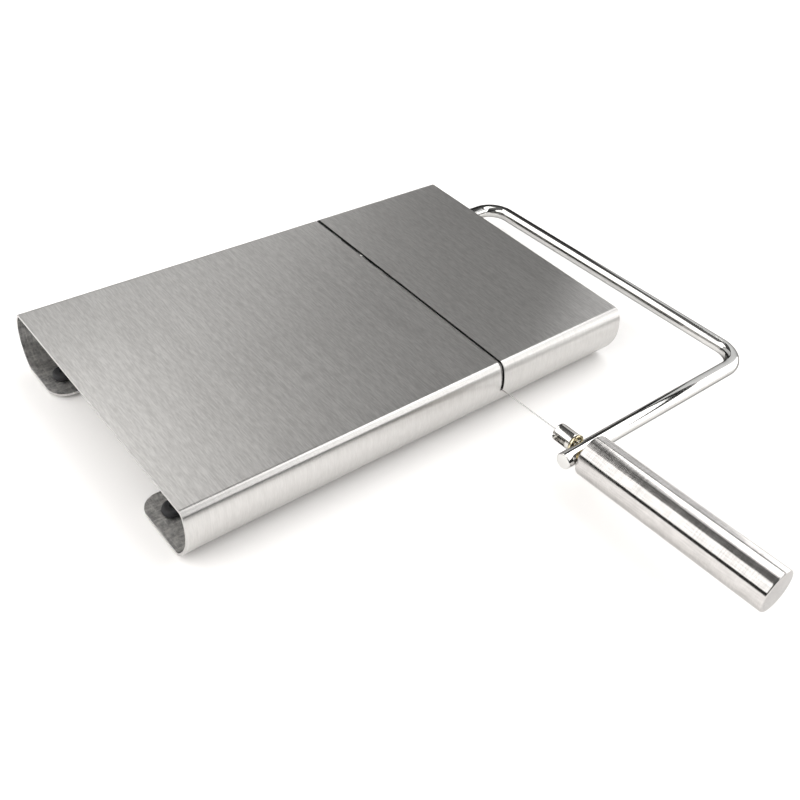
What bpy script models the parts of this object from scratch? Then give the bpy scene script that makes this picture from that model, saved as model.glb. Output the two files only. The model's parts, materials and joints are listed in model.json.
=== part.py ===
"""Cheese wire cutter: a folded steel board on rubber feet, with a wire bow hinged under it.

X runs along the board, +Y points to the hinge side and +Z up. The origin is in the
middle of the object's footprint, on the surface that its feet stand on. Lengths are in metres.
"""
import math

import bmesh
import bpy
from mathutils import Matrix, Vector

# Gap left between faces that touch on the real object.
GAP = 0.0003

# Board: one folded sheet.
BOARD_LENGTH = 0.204
BOARD_DEPTH = 0.125
BOARD_TOP = 0.025
SHEET = 0.001
LIP_UNDERSIDE = 0.0014
WALL_MIDDLE = 0.0154
WALL_RADIUS = 0.018
TOP_BEND_RADIUS = 0.003
LIP_BEND_RADIUS = 0.003
FRONT_LIP_EDGE = 0.0285
BACK_LIP_EDGE = 0.0335
LIP_CORNER_RADIUS = 0.007
SLOT_WIDTH = 0.0016
SLOT_BOTTOM = 0.0137

# Rubber feet: a pad under the lip, a waist through it and a head above it.
FOOT_X = 0.094
FRONT_FOOT_Y = -0.0385
BACK_FOOT_Y = 0.0445
FOOT_PAD_RADIUS = 0.0055
FOOT_WAIST_RADIUS = 0.0022
FOOT_HEAD_RADIUS = 0.0039
FOOT_HEAD_TOP = 0.0048

# Hinge line of the bow, and the bow's angle to the table while the wire rests in the slot.
HINGE_Y = 0.0479
HINGE_Z = 0.0085
REST_TILT = math.radians(3)
WIRE_X = 0.034

# Bow: one bent rod. Distances out from the hinge line are measured in the bow's plane.
ROD_RADIUS = 0.0031
ROD_REAR_END_X = 0.030
ROD_FRONT_END_X = 0.023
ROD_REAR_CORNER_X = 0.1362
ROD_FRONT_CORNER_X = 0.1316
BOW_REACH = 0.1528
REAR_BEND_RADIUS = 0.010
FRONT_BEND_RADIUS = 0.012
GROOVE_RADIUS = 0.00245

# Hinge hardware on the rear leg of the bow.
EAR_THICKNESS = 0.002
EAR_RADIUS = 0.0058
EAR_OUTER_X = 0.085
EAR_INNER_X = 0.045
BRACKET_FOOT = 0.014
BUSH_WALL = 0.0007
BUSH_FLANGE_RADIUS = 0.0054
BUSH_FLANGE = 0.001
WASHER_THICKNESS = 0.0006
WASHER_RADIUS = 0.005
RING_RADIUS = 0.0052
RING_MOUTH = math.radians(80)

# Wire and the two ferrules crimped on its ends.
WIRE_RADIUS = 0.00025
REAR_FERRULE_RADIUS = 0.0013
REAR_FERRULE_LENGTH = 0.002
FRONT_FERRULE_RADIUS = 0.0011
FRONT_FERRULE_LENGTH = 0.003

# Tension bolt: its head holds the front ferrule, and its shank screws into the handle.
BOLT_RADIUS = 0.002
BOLT_HEAD_RADIUS = 0.0035
BOLT_HEAD_LENGTH = 0.008
BOLT_TRAVEL = 0.0012
HEAD_SHOULDER = 0.0015
HEAD_SLOT = 0.0012
BOLT_WASHER_RADIUS = 0.0037
BOLT_WASHER = 0.0008

# Handle: a blind tube with a threaded insert pressed into its open end.
HANDLE_RADIUS = 0.00825
HANDLE_LENGTH = 0.0775
HANDLE_WALL = 0.0013
HANDLE_END = 0.002
INSERT_LENGTH = 0.012
SHANK_INTO_INSERT = 0.0105

# Worked out from the sizes above.
HALF_DEPTH = BOARD_DEPTH / 2
ROD_FACE = BOW_REACH + ROD_RADIUS
HANDLE_START = ROD_FACE + GAP
HANDLE_STOP = HANDLE_START + HANDLE_LENGTH
BOLT_WASHER_STOP = BOW_REACH - ROD_RADIUS - GAP
BOLT_WASHER_START = BOLT_WASHER_STOP - BOLT_WASHER
HEAD_STOP = BOLT_WASHER_START - GAP
HEAD_START = HEAD_STOP - BOLT_HEAD_LENGTH
POCKET_START = HEAD_START + HEAD_SHOULDER
FERRULE_START = POCKET_START + GAP
FERRULE_STOP = FERRULE_START + FRONT_FERRULE_LENGTH
POCKET_STOP = FERRULE_STOP + BOLT_TRAVEL + GAP
REAR_FERRULE_START = -ROD_RADIUS - GAP
BUSH_BORE = ROD_RADIUS + GAP
BUSH_RADIUS = BUSH_BORE + BUSH_WALL
FRONT_END_Y = HINGE_Y - HANDLE_STOP * math.cos(REST_TILT) - HANDLE_RADIUS * math.sin(REST_TILT)
LEG_LEAN = math.atan2(ROD_REAR_CORNER_X - ROD_FRONT_CORNER_X, BOW_REACH)
REAR_BEND_START = ROD_REAR_CORNER_X - REAR_BEND_RADIUS / math.tan(math.pi / 4 - LEG_LEAN / 2)
RIGHT_END_X = REAR_BEND_START + REAR_BEND_RADIUS + ROD_RADIUS
ORIGIN_X = (RIGHT_END_X - BOARD_LENGTH / 2) / 2
ORIGIN_Y = (HALF_DEPTH + FRONT_END_Y) / 2

STEEL = (0.62, 0.61, 0.60)
BRIGHT_STEEL = (0.70, 0.69, 0.68)
BRASS = (0.72, 0.58, 0.32)
RUBBER = (0.02, 0.02, 0.02)
NYLON = (0.75, 0.73, 0.68)


def clear_scene():
    for old in list(bpy.data.objects):
        bpy.data.objects.remove(old, do_unlink=True)


def material(name, color, roughness, metallic):
    made = bpy.data.materials.new(name)
    made.use_nodes = True
    shader = made.node_tree.nodes["Principled BSDF"]
    shader.inputs["Base Color"].default_value = (*color, 1)
    shader.inputs["Roughness"].default_value = roughness
    shader.inputs["Metallic"].default_value = metallic
    return made


def frame_empty(name, parent=None, location=(0, 0, 0), tilt=0.0):
    empty = bpy.data.objects.new(name, None)
    bpy.context.scene.collection.objects.link(empty)
    empty.parent = parent
    empty.location = location
    empty.rotation_euler = (-tilt, 0, 0)
    return empty


def new_object(name, mesh_maker, look, parent):
    bmesh.ops.recalc_face_normals(mesh_maker, faces=mesh_maker.faces)
    mesh = bpy.data.meshes.new(name)
    mesh_maker.to_mesh(mesh)
    mesh_maker.free()
    mesh.shade_smooth()
    mesh.set_sharp_from_angle(angle=math.radians(35))
    made = bpy.data.objects.new(name, mesh)
    bpy.context.scene.collection.objects.link(made)
    made.parent = parent
    if look:
        mesh.materials.append(look)
    return made


def cut(target, cutter):
    """Take the cutter's shape out of the target."""
    cutter.hide_render = True
    cutter.display_type = "WIRE"
    modifier = target.modifiers.new("cut_" + cutter.name, "BOOLEAN")
    modifier.operation = "DIFFERENCE"
    modifier.object = cutter


def arc(centre, radius, start, stop, steps):
    """Points on an arc, angles in radians, both ends included."""
    angles = [start + (stop - start) * i / steps for i in range(steps + 1)]
    return [(centre[0] + radius * math.cos(a), centre[1] + radius * math.sin(a)) for a in angles]


def prism(name, outline, low, high, turn, look, parent):
    """Extrude a closed outline of (u, v) points from low to high, then turn it into place."""
    maker = bmesh.new()
    base = [maker.verts.new((u, v, low)) for u, v in outline]
    face = maker.faces.new(base)
    grown = bmesh.ops.extrude_face_region(maker, geom=[face])
    raised = [item for item in grown["geom"] if isinstance(item, bmesh.types.BMVert)]
    bmesh.ops.translate(maker, verts=raised, vec=(0, 0, high - low))
    bmesh.ops.transform(maker, matrix=turn, verts=maker.verts)
    return new_object(name, maker, look, parent)


def turned(name, profile, steps, turn, look, parent):
    """Spin a closed profile of (radius, height) points about Z, then turn it into place.

    The facets start half a step round, so that they don't line up with those of a crossing rod.
    """
    maker = bmesh.new()
    verts = [maker.verts.new((r, 0, h)) for r, h in profile]
    pairs = zip(verts, verts[1:] + verts[:1])
    edges = [maker.edges.new((a, b)) for a, b in pairs if a.co.x > 0 or b.co.x > 0]
    bmesh.ops.spin(maker, geom=verts + edges, cent=(0, 0, 0), axis=(0, 0, 1),
                   angle=math.tau, steps=steps, use_duplicate=False)
    bmesh.ops.remove_doubles(maker, verts=maker.verts, dist=1e-6)
    half_step = Matrix.Rotation(math.pi / steps, 4, "Z")
    bmesh.ops.transform(maker, matrix=turn @ half_step, verts=maker.verts)
    return new_object(name, maker, look, parent)


def block(name, low, high, parent, look=None):
    """A box between two corners."""
    outline = [(low[0], low[1]), (high[0], low[1]), (high[0], high[1]), (low[0], high[1])]
    return prism(name, outline, low[2], high[2], Matrix(), look, parent)


def along_x(y=0.0, z=0.0):
    """Turn local Z to +X, and local X to +Y, about the line through (y, z)."""
    rows = ((0, 0, 1, 0), (1, 0, 0, y), (0, 1, 0, z), (0, 0, 0, 1))
    return Matrix(rows)


def out_from_hinge(x=0.0):
    """Turn local Z to -Y, outward along the bow's plane, about the line at x."""
    rows = ((-1, 0, 0, x), (0, 0, -1, 0), (0, -1, 0, 0), (0, 0, 0, 1))
    return Matrix(rows)


def wall_outline(inset):
    """(y, z) points of the back wall from the top's edge to the lip, set in from the outside."""
    wall_y = HALF_DEPTH - WALL_RADIUS
    top_swing = WALL_RADIUS - TOP_BEND_RADIUS
    lip_swing = WALL_RADIUS - LIP_BEND_RADIUS
    top_angle = math.asin((BOARD_TOP - TOP_BEND_RADIUS - WALL_MIDDLE) / top_swing)
    lip_angle = -math.asin((WALL_MIDDLE - LIP_UNDERSIDE - LIP_BEND_RADIUS) / lip_swing)
    top_centre = (wall_y + top_swing * math.cos(top_angle), BOARD_TOP - TOP_BEND_RADIUS)
    lip_centre = (wall_y + lip_swing * math.cos(lip_angle), LIP_UNDERSIDE + LIP_BEND_RADIUS)
    top = arc(top_centre, TOP_BEND_RADIUS - inset, math.pi / 2, top_angle, 7)
    wall = arc((wall_y, WALL_MIDDLE), WALL_RADIUS - inset, top_angle, lip_angle, 14)
    lip = arc(lip_centre, LIP_BEND_RADIUS - inset, lip_angle, -math.pi / 2, 5)
    return top + wall[1:] + lip[1:]


def board_outline():
    """Closed section of the folded sheet, seen along X."""
    faces = []
    for inset in (0.0, SHEET):
        back = wall_outline(inset)
        front = [(-y, z) for y, z in back]
        lip_z = LIP_UNDERSIDE + inset
        faces.append([(-FRONT_LIP_EDGE, lip_z)] + front[::-1] + back + [(BACK_LIP_EDGE, lip_z)])
    return faces[0] + faces[1][::-1]


def lip_corner_cutter(name, side, edge, facing, parent):
    """Waste outside a lip's rounded corner: side is the end of the board, facing its lip."""
    end = BOARD_LENGTH / 2
    radius = LIP_CORNER_RADIUS
    margin = 0.001
    rounded = arc((end - radius, edge + radius), radius, 0, -math.pi / 2, 8)
    waste = [(end + margin, edge - margin), (end + margin, edge + radius)] + rounded
    waste.append((end - radius, edge - margin))
    outline = [(side * x, facing * y) for x, y in waste]
    top = LIP_UNDERSIDE + 2 * SHEET
    return prism(name, outline, LIP_UNDERSIDE - SHEET, top, Matrix(), None, parent)


def foot_places():
    """Name and place of each foot."""
    for end, x in (("left", -FOOT_X), ("right", FOOT_X)):
        for row, y in (("front", FRONT_FOOT_Y), ("back", BACK_FOOT_Y)):
            yield "foot_" + row + "_" + end, x, y


def build_board(look, parent):
    half = BOARD_LENGTH / 2
    board = prism("board", board_outline(), -half, half, along_x(), look, parent)
    slot_half = SLOT_WIDTH / 2
    root = [(slot_half, 0.006), (-slot_half, 0.006)]
    slot_outline = [(x, z + 0.02) for x, z in root]
    slot_outline += arc((0, SLOT_BOTTOM + slot_half), slot_half, math.pi, math.tau, 6)
    across = Matrix(((1, 0, 0, WIRE_X), (0, 0, 1, 0), (0, 1, 0, 0), (0, 0, 0, 1)))
    slot = prism("slot_cutter", slot_outline, -HALF_DEPTH - 0.005, HALF_DEPTH + 0.005,
                 across, None, parent)
    cut(board, slot)
    for side in (-1, 1):
        cut(board, lip_corner_cutter("front_lip_cutter", side, FRONT_LIP_EDGE, -1, parent))
        cut(board, lip_corner_cutter("back_lip_cutter", side, BACK_LIP_EDGE, 1, parent))
    for name, x, y in foot_places():
        hole = [(0, 0), (FOOT_WAIST_RADIUS + GAP, 0), (FOOT_WAIST_RADIUS + GAP, 0.004), (0, 0.004)]
        place = Matrix.Translation((x, y, 0))
        cut(board, turned("hole_" + name, hole, 20, place, None, parent))


def build_feet(look, parent):
    pad_top = LIP_UNDERSIDE - GAP
    head_base = LIP_UNDERSIDE + SHEET + GAP
    chamfer = 0.0006
    profile = [
        (0, 0), (FOOT_PAD_RADIUS - chamfer, 0), (FOOT_PAD_RADIUS, chamfer),
        (FOOT_PAD_RADIUS, pad_top), (FOOT_WAIST_RADIUS, pad_top), (FOOT_WAIST_RADIUS, head_base),
        (FOOT_HEAD_RADIUS, head_base), (FOOT_HEAD_RADIUS - chamfer, FOOT_HEAD_TOP - chamfer),
        (FOOT_HEAD_RADIUS - 2 * chamfer, FOOT_HEAD_TOP), (0, FOOT_HEAD_TOP),
    ]
    for name, x, y in foot_places():
        turned(name, profile, 24, Matrix.Translation((x, y, 0)), look, parent)


def build_bracket(name, x, side, look, parent):
    """An ear for the hinge, its foot welded under the board away from the side of its bush."""
    underside = BOARD_TOP - SHEET - GAP
    rounded = arc((HINGE_Y, HINGE_Z), EAR_RADIUS, math.pi, math.tau, 16)
    outline = rounded + [(HINGE_Y + EAR_RADIUS, underside), (HINGE_Y - EAR_RADIUS, underside)]
    half = EAR_THICKNESS / 2
    ear = prism(name, outline, x - half, x + half, along_x(), look, parent)
    low_x, high_x = sorted((x, x - side * BRACKET_FOOT))
    low = (low_x, HINGE_Y - EAR_RADIUS - 0.001, underside - EAR_THICKNESS)
    high = (high_x, HINGE_Y + EAR_RADIUS + 0.001, underside)
    foot = block(name + "_foot", low, high, parent)
    foot.hide_render = True
    foot.display_type = "WIRE"
    weld = ear.modifiers.new("foot", "BOOLEAN")
    weld.operation = "UNION"
    weld.object = foot
    seat = BUSH_RADIUS + GAP
    hole = [(0, -0.004), (seat, -0.004), (seat, 0.004), (0, 0.004)]
    cut(ear, turned(name + "_hole", hole, 32, along_x(HINGE_Y, HINGE_Z)
                    @ Matrix.Translation((0, 0, x)), None, parent))


def ring_profile(bore, radius, start, stop):
    return [(bore, start), (radius, start), (radius, stop), (bore, stop)]


def stack_places(ear_x, side):
    """Positions along X of the bush flange, washer and ring outside an ear, side +1 or -1."""
    flange = ear_x + side * (EAR_THICKNESS / 2 + GAP)
    washer = flange + side * (BUSH_FLANGE + GAP)
    ring = washer + side * (WASHER_THICKNESS + GAP)
    return flange, washer, ring


def build_bush(name, ear_x, side, look, parent):
    """A flanged bush: its flange is outside the ear and its barrel goes through it."""
    flange = stack_places(ear_x, side)[0]
    barrel_end = -(EAR_THICKNESS + 2 * GAP)
    profile = [
        (BUSH_BORE, barrel_end), (BUSH_RADIUS, barrel_end), (BUSH_RADIUS, 0),
        (BUSH_FLANGE_RADIUS, 0), (BUSH_FLANGE_RADIUS, BUSH_FLANGE), (BUSH_BORE, BUSH_FLANGE),
    ]
    place = along_x(HINGE_Y, HINGE_Z) @ Matrix.Translation((0, 0, flange))
    if side < 0:
        place = place @ Matrix.Rotation(math.pi, 4, "X")
    turned(name, profile, 32, place, look, parent)


def build_stop(ear_x, side, suffix, ring_look, washer_look, parent):
    """The washer and the snap ring that keep the rod from sliding along X."""
    washer_x, ring_x = stack_places(ear_x, side)[1:]
    place = along_x()
    washer = ring_profile(BUSH_BORE, WASHER_RADIUS, washer_x, washer_x + side * WASHER_THICKNESS)
    turned("thrust_washer_" + suffix, washer, 32, place, washer_look, parent)
    first = math.pi / 2 + RING_MOUTH / 2
    last = first + math.tau - RING_MOUTH
    outline = arc((0, 0), RING_RADIUS, first, last, 24)
    outline += arc((0, 0), GROOVE_RADIUS + GAP, last, first, 24)
    prism("snap_ring_" + suffix, outline, ring_x, ring_x + side * WASHER_THICKNESS, place,
          ring_look, parent)


def rounded_corner(before, corner, after, radius, steps):
    """Points of the arc that rounds a corner between two straight runs."""
    incoming = (before - corner).normalized()
    outgoing = (after - corner).normalized()
    half_angle = incoming.angle(outgoing) / 2
    centre = corner + (incoming + outgoing).normalized() * (radius / math.sin(half_angle))
    start = corner + incoming * (radius / math.tan(half_angle)) - centre
    turn = incoming.angle_signed(outgoing)
    swing = math.copysign(math.pi - 2 * half_angle, turn)
    first = math.atan2(start.y, start.x)
    return arc(centre, radius, first, first + swing, steps)


def rod_path():
    """Centre line of the bow in its own plane, as (x, y) points, y negative outward."""
    rear_end = Vector((ROD_REAR_END_X, 0))
    rear_corner = Vector((ROD_REAR_CORNER_X, 0))
    front_corner = Vector((ROD_FRONT_CORNER_X, -BOW_REACH))
    front_end = Vector((ROD_FRONT_END_X, -BOW_REACH))
    rear = rounded_corner(rear_end, rear_corner, front_corner, REAR_BEND_RADIUS, 8)
    front = rounded_corner(rear_corner, front_corner, front_end, FRONT_BEND_RADIUS, 8)
    return [rear_end] + rear + front + [front_end]


def swept_rod(name, path, radius, sides, look, parent):
    """A round rod along a flat path, with plain ends."""
    maker = bmesh.new()
    rings = []
    points = [Vector((x, y, 0)) for x, y in path]
    for i, point in enumerate(points):
        before = (point - points[i - 1]).normalized() if i else None
        after = (points[i + 1] - point).normalized() if i + 1 < len(points) else None
        along = ((before or after) + (after or before)).normalized()
        across = Vector((-along.y, along.x, 0))
        stretch = 1 / across.dot(Vector((-(after or before).y, (after or before).x, 0)))
        ring = []
        for k in range(sides):
            angle = math.tau * k / sides
            offset = across * (stretch * math.cos(angle)) + Vector((0, 0, math.sin(angle)))
            ring.append(maker.verts.new(point + radius * offset))
        rings.append(ring)
    for first, second in zip(rings, rings[1:]):
        for k in range(sides):
            nxt = (k + 1) % sides
            maker.faces.new((first[k], first[nxt], second[nxt], second[k]))
    maker.faces.new(rings[0][::-1])
    maker.faces.new(rings[-1])
    return new_object(name, maker, look, parent)


def build_bow_rod(look, parent):
    rod = swept_rod("bow_rod", rod_path(), ROD_RADIUS, 28, look, parent)
    for suffix, ear_x, side in (("outer", EAR_OUTER_X, 1), ("inner", EAR_INNER_X, -1)):
        ring_x = stack_places(ear_x, side)[2]
        start = ring_x - side * GAP
        stop = ring_x + side * (WASHER_THICKNESS + GAP)
        groove = ring_profile(GROOVE_RADIUS, ROD_RADIUS + 0.002, start, stop)
        cut(rod, turned("groove_" + suffix, groove, 28, along_x(), None, parent))
    wire_hole = WIRE_RADIUS + 2 * GAP
    for name, radius, reach in (("wire", wire_hole, 0.0), ("bolt", BOLT_RADIUS + GAP, BOW_REACH)):
        low = reach - 2 * ROD_RADIUS
        high = reach + 2 * ROD_RADIUS
        hole = [(0, low), (radius, low), (radius, high), (0, high)]
        cut(rod, turned(name + "_hole", hole, 24, out_from_hinge(WIRE_X), None, parent))


def build_wire(wire_look, ferrule_look, parent):
    place = out_from_hinge(WIRE_X)
    rear_end = REAR_FERRULE_START - REAR_FERRULE_LENGTH + GAP
    front_end = FERRULE_STOP - GAP
    wire = [(0, rear_end), (WIRE_RADIUS, rear_end), (WIRE_RADIUS, front_end), (0, front_end)]
    turned("cutting_wire", wire, 12, place, wire_look, parent)
    bore = WIRE_RADIUS + GAP
    rear = ring_profile(bore, REAR_FERRULE_RADIUS, REAR_FERRULE_START - REAR_FERRULE_LENGTH,
                        REAR_FERRULE_START)
    turned("wire_ferrule_rear", rear, 16, place, ferrule_look, parent)
    front = ring_profile(bore, FRONT_FERRULE_RADIUS, FERRULE_START, FERRULE_STOP)
    turned("wire_ferrule_front", front, 16, place, ferrule_look, parent)


def build_bolt(look, parent):
    place = out_from_hinge(WIRE_X)
    chamfer = 0.0005
    shank_end = HANDLE_START + SHANK_INTO_INSERT
    profile = [
        (0, HEAD_START), (BOLT_HEAD_RADIUS - chamfer, HEAD_START),
        (BOLT_HEAD_RADIUS, HEAD_START + chamfer), (BOLT_HEAD_RADIUS, HEAD_STOP),
        (BOLT_RADIUS, HEAD_STOP), (BOLT_RADIUS, shank_end - chamfer),
        (BOLT_RADIUS - chamfer, shank_end), (0, shank_end),
    ]
    bolt = turned("tension_bolt", profile, 28, place, look, parent)
    slot_half = HEAD_SLOT / 2
    margin = 0.001
    slot = block("wire_slot", (WIRE_X - BOLT_HEAD_RADIUS - margin, -POCKET_START - margin, -slot_half),
                 (WIRE_X + slot_half, -HEAD_START + margin, slot_half), parent)
    cut(bolt, slot)
    room = FRONT_FERRULE_RADIUS + GAP
    pocket = block("ferrule_pocket", (WIRE_X - BOLT_HEAD_RADIUS - margin, -POCKET_STOP, -room),
                   (WIRE_X + room, -POCKET_START, room), parent)
    cut(bolt, pocket)


def build_bolt_washer(look, parent):
    profile = ring_profile(BOLT_RADIUS + GAP, BOLT_WASHER_RADIUS, BOLT_WASHER_START, BOLT_WASHER_STOP)
    turned("tension_washer", profile, 28, out_from_hinge(WIRE_X), look, parent)


def build_handle(grip_look, insert_look, parent):
    place = out_from_hinge(WIRE_X)
    bore = HANDLE_RADIUS - HANDLE_WALL
    chamfer = 0.0004
    grip = [
        (bore, HANDLE_START), (HANDLE_RADIUS - chamfer, HANDLE_START),
        (HANDLE_RADIUS, HANDLE_START + chamfer), (HANDLE_RADIUS, HANDLE_STOP - chamfer),
        (HANDLE_RADIUS - chamfer, HANDLE_STOP), (0, HANDLE_STOP),
        (0, HANDLE_STOP - HANDLE_END), (bore, HANDLE_STOP - HANDLE_END),
    ]
    turned("handle_grip", grip, 40, place, grip_look, parent)
    insert = ring_profile(BOLT_RADIUS + GAP, bore - GAP, HANDLE_START, HANDLE_START + INSERT_LENGTH)
    turned("handle_insert", insert, 32, place, insert_look, parent)


def main():
    clear_scene()
    base = frame_empty("base_frame", location=(-ORIGIN_X, -ORIGIN_Y, 0))
    bow = frame_empty("bow_frame", base, (0, HINGE_Y, HINGE_Z), REST_TILT)
    bolt_frame = frame_empty("bolt_frame", bow)
    handle_frame = frame_empty("handle_frame", bow)
    build_board(material("brushed_sheet", STEEL, 0.34, 1), base)
    build_feet(material("foot_rubber", RUBBER, 0.7, 0), base)
    build_bow_rod(material("polished_rod", BRIGHT_STEEL, 0.12, 1), bow)
    for suffix, ear_x, side in (("outer", EAR_OUTER_X, 1), ("inner", EAR_INNER_X, -1)):
        build_bracket("hinge_bracket_" + suffix, ear_x, side,
                      material("bracket_steel", STEEL, 0.3, 1), base)
        build_bush("hinge_bush_" + suffix, ear_x, side, material("bush_nylon", NYLON, 0.5, 0), base)
        build_stop(ear_x, side, suffix, material("ring_steel", STEEL, 0.3, 1),
                   material("washer_steel", STEEL, 0.3, 1), bow)
    build_wire(material("wire_steel", BRIGHT_STEEL, 0.2, 1),
               material("ferrule_steel", BRIGHT_STEEL, 0.3, 1), bow)
    build_bolt(material("bolt_steel", BRIGHT_STEEL, 0.15, 1), bolt_frame)
    build_bolt_washer(material("washer_brass", BRASS, 0.25, 1), bow)
    build_handle(material("satin_handle", STEEL, 0.28, 1), material("insert_brass", BRASS, 0.3, 1),
                 handle_frame)


main()
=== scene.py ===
"""Looks for the cheese wire cutter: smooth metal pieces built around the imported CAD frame.

Lengths are in metres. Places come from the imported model; the small radii and wall
thicknesses repeat those of the CAD part.
"""
import json
import math

import bmesh
import bpy
from mathutils import Matrix, Vector


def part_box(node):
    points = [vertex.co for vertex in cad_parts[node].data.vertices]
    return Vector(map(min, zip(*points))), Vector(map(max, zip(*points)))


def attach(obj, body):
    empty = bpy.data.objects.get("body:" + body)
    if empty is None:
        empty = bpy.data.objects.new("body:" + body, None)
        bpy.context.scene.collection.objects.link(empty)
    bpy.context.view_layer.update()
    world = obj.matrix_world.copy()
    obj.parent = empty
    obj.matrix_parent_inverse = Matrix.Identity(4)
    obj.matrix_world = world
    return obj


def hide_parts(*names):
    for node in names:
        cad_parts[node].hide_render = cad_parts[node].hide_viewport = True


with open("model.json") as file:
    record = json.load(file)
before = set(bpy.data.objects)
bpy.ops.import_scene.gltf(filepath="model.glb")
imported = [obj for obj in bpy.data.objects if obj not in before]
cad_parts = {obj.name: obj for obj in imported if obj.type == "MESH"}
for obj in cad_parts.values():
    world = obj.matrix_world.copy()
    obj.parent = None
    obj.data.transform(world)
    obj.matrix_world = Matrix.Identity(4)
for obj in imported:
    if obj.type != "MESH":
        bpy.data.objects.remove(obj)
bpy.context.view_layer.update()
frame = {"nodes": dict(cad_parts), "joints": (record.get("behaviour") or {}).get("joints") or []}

GAP = 0.0003
NEAR = 0.0001
CUT_MARGIN = 0.001
FINE_SOFTNESS = 0.00008

# Sheet of the board.
SHEET = 0.001
WALL_MIDDLE = 0.0154
WALL_RADIUS = 0.018
BEND_RADIUS = 0.003
FRONT_LIP_EDGE = 0.0285
BACK_LIP_EDGE = 0.0335
LIP_CORNER_RADIUS = 0.007
SLOT_WIDTH = 0.0016
SLOT_BOTTOM = 0.0137
SLOT_CUT_TOP = 0.026
EDGE_SOFTNESS = 0.00028
# The third slot holds the cut walls of the wire slot, which get a near-black look: painted shade for
# the dark slot.
TOP_SLOT, INNER_SLOT, SHADED_CUT_SLOT, WALL_SLOT = range(4)

# Rod of the bow.
ROD_RADIUS = 0.0031
ROD_GIRTH = 0.0195
ROD_REAR_CORNER_X = 0.1362
ROD_FRONT_CORNER_X = 0.1316
REAR_BEND_RADIUS = 0.010
FRONT_BEND_RADIUS = 0.012
GROOVE_RADIUS = 0.00245
GROOVE_RIM = 0.0001
ROD_CHAMFER = 0.00045
WIRE_HOLE = 0.00085

# Bolt, handle and hardware.
CRIMP_WIDTH = 0.22
CRIMP_ROUND, CRIMP_FLAT = 0.04, 0.06
BOLT_RADIUS = 0.002
BOLT_HEAD_RADIUS = 0.0035
BOLT_HEAD_LENGTH = 0.008
BOLT_TRAVEL = 0.0012
NECK_LENGTH = 0.0014
HEAD_SHOULDER = 0.0015
HEAD_SLOT = 0.0012
THREAD_PITCH = 0.0008
THREAD_DEPTH = 0.00033
THREAD_START = 0.001
THREAD_CHAMFER = 0.0005
THREAD_STEEPNESS = 3.2
THREAD_STEP = 0.00007
HANDLE_WALL = 0.0013
HANDLE_END = 0.002
EAR_THICKNESS = 0.002
EAR_MARGIN = 0.003
EAR_SOFTNESS = 0.00015
WASTE_CLEARANCE = 0.0002
BUSH_WALL = 0.0007
BUSH_BARREL_RADIUS = ROD_RADIUS + GAP + BUSH_WALL
BUSH_FLANGE = 0.001
RING_MOUTH = math.radians(80)
TIP_START, TIP_CENTRE = 0.16, 0.2
TIP_SHARE = 0.96
FOOT_WAIST_RADIUS = 0.0022
FOOT_HEAD_RADIUS = 0.0039
PAD_DISH_DEPTH = 0.0002
PAD_DISH_RIM = 0.0012
DIMPLE_RADIUS = 0.0007
DIMPLE_DEPTH = 0.0008
HOLE_REACH = 0.004


def joint(name):
    return next(j for j in frame["joints"] if j["name"] == name)


def middle(node):
    low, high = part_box(node)
    return (low + high) / 2


board_low, board_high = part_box("board")
BOARD_LENGTH = board_high.x - board_low.x
HALF_DEPTH = (board_high.y - board_low.y) / 2
BOARD_TOP = board_high.z
LIP_UNDERSIDE = board_low.z
BOARD_CENTRE = Vector(((board_low.x + board_high.x) / 2, (board_low.y + board_high.y) / 2, 0))
BOARD_PLACE = Matrix.Translation(BOARD_CENTRE)

HINGE = Vector(joint("bow_hinge")["pos_m"])
HINGE_Y = HINGE.y - BOARD_CENTRE.y
HINGE_Z = HINGE.z
OUTWARD = Vector(joint("handle_spin")["axis"])
REST_TILT = math.atan2(OUTWARD.z, -OUTWARD.y)
WIRE_X = joint("handle_spin")["pos_m"][0] - BOARD_CENTRE.x
BOW_PLACE = (Matrix.Translation((BOARD_CENTRE.x, HINGE.y, HINGE.z))
             @ Matrix.Rotation(-REST_TILT, 4, "X"))
TO_BOW = BOW_PLACE.inverted()
# Turns local Z outward along the bow's plane, on the line that the wire and the handle share.
ALONG_WIRE = Matrix(((-1, 0, 0, WIRE_X), (0, 0, -1, 0), (0, -1, 0, 0), (0, 0, 0, 1)))


def reach_of(node):
    """Nearest and farthest distance of a node from the hinge line, along the bow's plane."""
    corners = [TO_BOW @ v.co for v in frame["nodes"][node].data.vertices]
    return -max(c.y for c in corners), -min(c.y for c in corners)


def radius_of(node):
    """Half of a turned node's width along X."""
    low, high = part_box(node)
    return (high.x - low.x) / 2


def span_x(node):
    """Start and stop of a node along X, from the board's centre."""
    low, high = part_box(node)
    return low.x - BOARD_CENTRE.x, high.x - BOARD_CENTRE.x


# ---------------------------------------------------------------- materials

def shader_of(look):
    return look.node_tree.nodes["Principled BSDF"]


def new_look(name, color, roughness, metallic=1.0, edge=1.0):
    """Principled look; edge below 1 darkens a metal where it is seen at a glancing angle."""
    look = bpy.data.materials.new(name)
    look.use_nodes = True
    shader = shader_of(look)
    shader.inputs["Base Color"].default_value = (*color, 1)
    shader.inputs["Roughness"].default_value = roughness
    shader.inputs["Metallic"].default_value = metallic
    shader.inputs["Specular Tint"].default_value = (edge, edge, edge, 1)
    return look


def add_node(look, kind, **values):
    node = look.node_tree.nodes.new(kind)
    for key, value in values.items():
        setattr(node, key, value)
    return node


def link(look, source, target):
    look.node_tree.links.new(source, target)


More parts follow.
